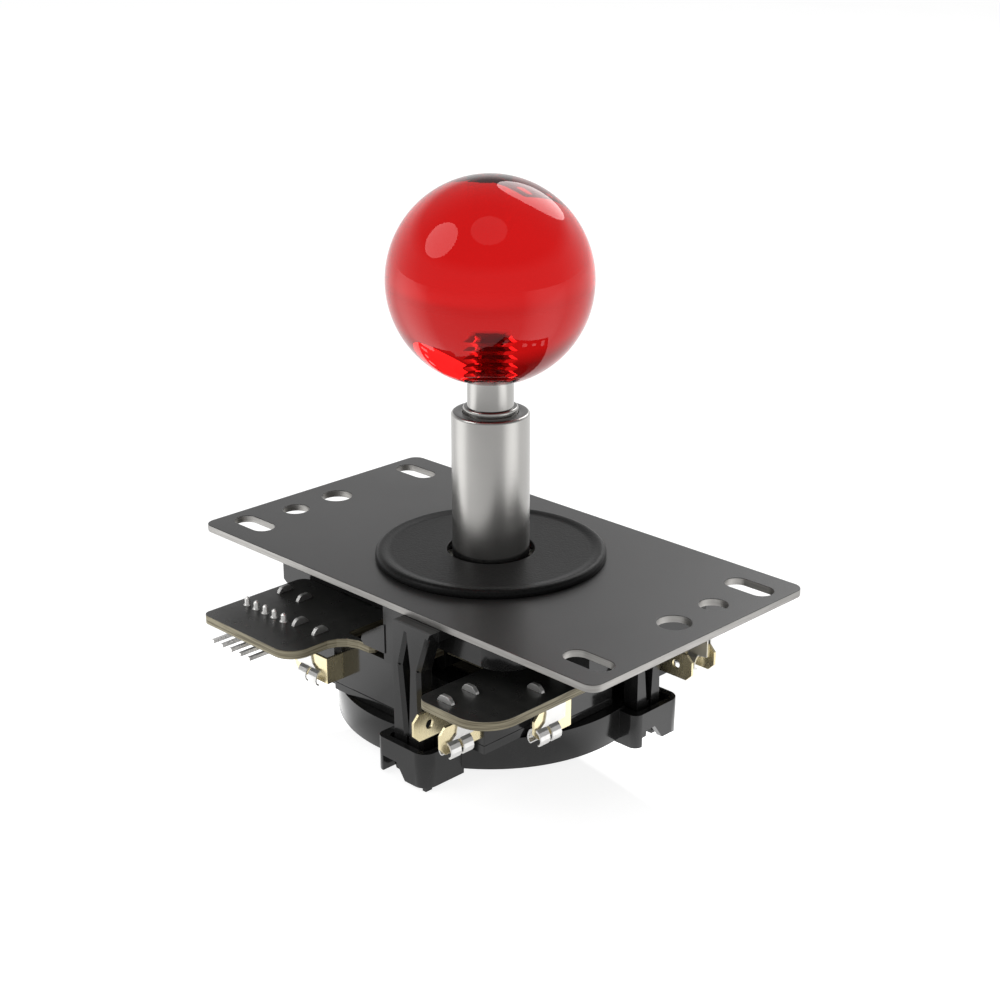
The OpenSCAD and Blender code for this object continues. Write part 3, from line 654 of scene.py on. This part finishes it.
def plated(name, dark, light, rough_low, rough_high, metallic=1.0):
    """Bare or plated metal with a cloudy tone and a faint rolled grain."""
    bumps_mm, bump_strength = 0.001, 0.3
    material, tree, surface = shader(name, Metallic=metallic)
    rolled = pattern(tree, scale=1.2, detail=3.0, stretch=(1, 1, 0.2))
    cloudy = tones(tree, pattern(tree, scale=0.25, detail=2.0), dark, light)
    link(tree, cloudy, surface.inputs["Base Color"])
    link(tree, spread(tree, rolled, rough_low, rough_high), surface.inputs["Roughness"])
    grain(tree, surface, rolled, bumps_mm, bump_strength)
    return material


zinc_plate = plated("zinc_plate", dark=(0.55, 0.55, 0.57), light=(0.68, 0.68, 0.7),
                    rough_low=0.2, rough_high=0.32)
dress(zinc_plate, "plate_screws", edge_mm=0.15)

# Pivot
# The lever's white nylon ball turns in a nylon ring that the housing's tube
# holds; a nylon collar and a steel spring push the black actuator down.
natural_nylon = moulding("natural_nylon", dark=(0.74, 0.72, 0.66), light=(0.8, 0.78, 0.72),
                         edge=(0.84, 0.82, 0.77), rough_low=0.38, rough_high=0.48,
                         bumps_mm=0.006)
dress(natural_nylon, "bearing_ring", "pivot_ball", "spring_collar")
spring_wire = plated("spring_wire", dark=(0.42, 0.42, 0.43), light=(0.55, 0.55, 0.56),
                     rough_low=0.2, rough_high=0.3)
dress(spring_wire, "spring", "e_clip", edge_mm=0.03)
acetal_black = moulding("acetal_black", dark=grey(0.012), light=grey(0.018), edge=grey(0.04),
                        rough_low=0.2, rough_high=0.28, bumps_mm=0.004)
dress(acetal_black, "actuator")

# Circuit board
# A pressed laminate board, 1.6 mm thick, with black solder mask on its faces
# and the layers of glass cloth bare along its cut edge.
board_low, board_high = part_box("circuit_board")
mask_depth = 0.04 * mm
mask_dark, mask_light = (0.026, 0.026, 0.025), (0.034, 0.034, 0.032)
mask_smooth, mask_rough, cloth_rough = 0.26, 0.36, 0.7
cloth_dark, cloth_light = (0.14, 0.12, 0.075), (0.30, 0.27, 0.185)
solder_mask, tree, surface = shader("solder_mask", Specular_IOR_Level=0.45)
edge_band = height_in(tree, board_low.z + mask_depth, board_high.z - mask_depth)
mask_tone = tones(tree, pattern(tree, scale=0.5, detail=2.0), mask_dark, mask_light)
layers = pattern(tree, scale=1.0, detail=1.0, stretch=(0.12, 0.12, 4.5))
core_tone = tones(tree, layers, cloth_dark, cloth_light, start=0.42, end=0.58)
link(tree, blend_colours(tree, edge_band, mask_tone, core_tone), surface.inputs["Base Color"])
mask_sheen = spread(tree, pattern(tree, scale=0.4, detail=2.0), mask_smooth, mask_rough)
link(tree, blend_values(tree, edge_band, mask_sheen, cloth_rough), surface.inputs["Roughness"])
grain(tree, surface, pattern(tree, scale=3.0, detail=2.0), depth_mm=0.001, strength=0.3)
dress(solder_mask, "circuit_board", edge_mm=0.03)

# Header
# Five square tinned pins bent through a right angle in a black moulded base,
# soldered through the board.
header_black = moulding("header_black", dark=grey(0.010), light=grey(0.016), edge=grey(0.04),
                        rough_low=0.32, rough_high=0.42, bumps_mm=0.006)
dress(header_black, "header_base", edge_mm=0.08)
bright_tin = plated("bright_tin", dark=(0.8, 0.79, 0.77), light=(0.86, 0.85, 0.83),
                    rough_low=0.24, rough_high=0.32, metallic=0.6)
dress(bright_tin, "header_pins", edge_mm=0.08)

# Snap switches
# Four alike: a glossy black case with its cover pressed on, a red plunger
# towards the lever, and three punched brass blades that plug into clips.
switches = "abcd"
case_gloss = moulding("case_gloss", dark=grey(0.008), light=grey(0.012), edge=grey(0.03),
                      rough_low=0.08, rough_high=0.14, bumps_mm=0.002, specular=0.45)
dress(case_gloss, *["switch_case_" + k for k in switches],
      *["switch_cover_" + k for k in switches])
plunger_red = moulding("plunger_red", dark=(0.45, 0.02, 0.02), light=(0.52, 0.03, 0.03),
                       edge=(0.6, 0.08, 0.07), rough_low=0.25, rough_high=0.35,
                       bumps_mm=0.003)
dress(plunger_red, *["plunger_" + k for k in switches], edge_mm=0.15)
pale_brass = plated("pale_brass", dark=(0.78, 0.68, 0.42), light=(0.84, 0.74, 0.48),
                    rough_low=0.22, rough_high=0.3, metallic=0.85)
dress(pale_brass, *["terminal_%s_%s" % (kind, k) for kind in ("com", "no", "nc")
                    for k in switches], edge_mm=0.05)

# Contact clips
# Each blade of a switch's outer pair is gripped by a folded clip of tinned
# bronze, which is soldered through the board.
clip_tin = plated("clip_tin", dark=(0.66, 0.655, 0.64), light=(0.72, 0.715, 0.7),
                  rough_low=0.3, rough_high=0.36, metallic=0.75)
dress(clip_tin, *["clip_%s_%s" % (kind, k) for kind in ("com", "no") for k in switches],
      edge_mm=0.08)

# Restrictor gate
# The clip-on gate under the switches is a second black moulding, with a loose
# plate on it whose square hole limits the lever's travel.
dress(moulded_black, "restrictor_gate", edge_mm=0.12)
gate_plate_black = moulding("gate_plate_black", dark=grey(0.014), light=grey(0.02),
                            edge=grey(0.045), rough_low=0.3, rough_high=0.4, bumps_mm=0.01)
dress(gate_plate_black, "gate_plate", edge_mm=0.12)
